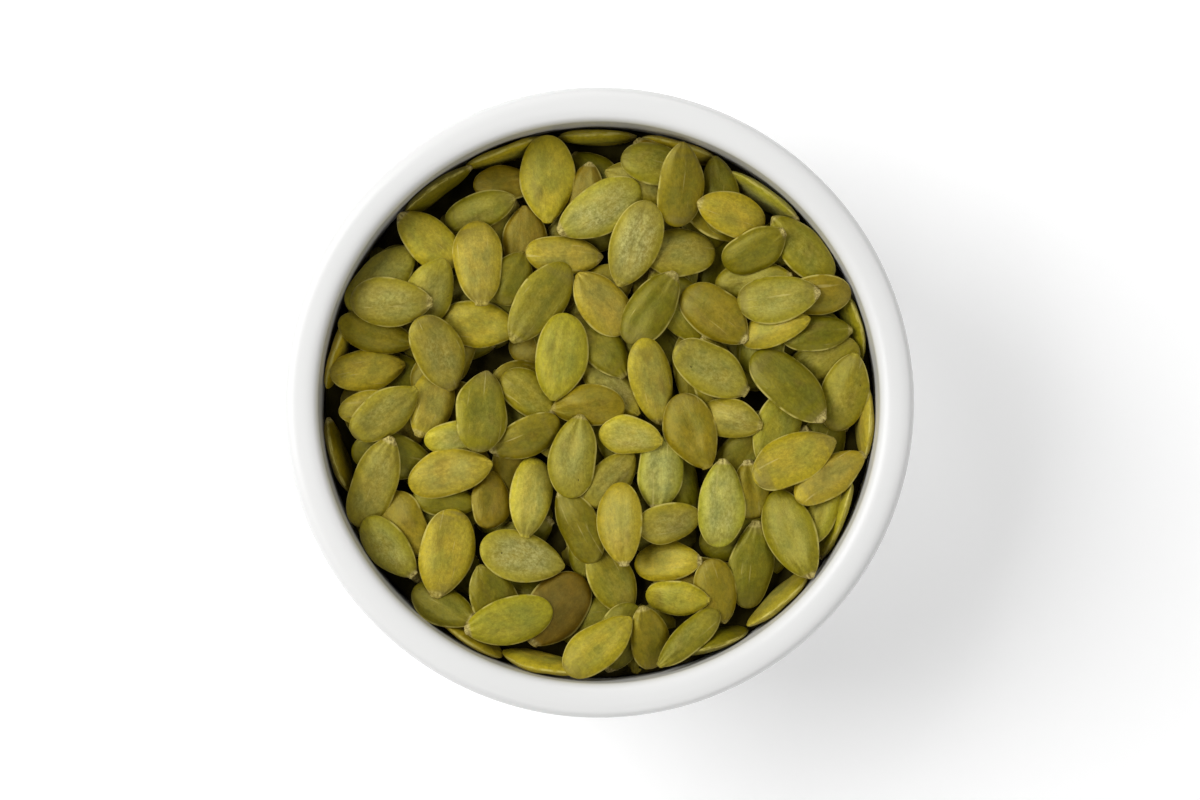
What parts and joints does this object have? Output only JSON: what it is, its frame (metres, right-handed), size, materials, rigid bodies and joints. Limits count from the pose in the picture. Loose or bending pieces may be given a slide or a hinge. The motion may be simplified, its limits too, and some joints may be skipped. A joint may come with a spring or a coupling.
{
  "type": "bowl of pumpkin seeds",
  "caption": "Small round white glazed bowl with a thick rim and a foot ring, filled almost to the rim with hulled green pumpkin seeds.",
  "frame": {"origin": "centre of the foot ring, on the surface that the bowl stands on", "axes": "+Z up out of the bowl; seen from above, +X is right and +Y is up in the picture"},
  "size_m": [0.104, 0.104, 0.05],
  "materials": {
    "glazed_white": "smooth glossy white glaze",
    "seed_kernel": "satin olive green kernels with fine lengthwise lines and a pale edge"
  },
  "bodies": {
    "root": {"bowl": "glazed_white", "seeds": "seed_kernel"}
  },
  "joints": []
}
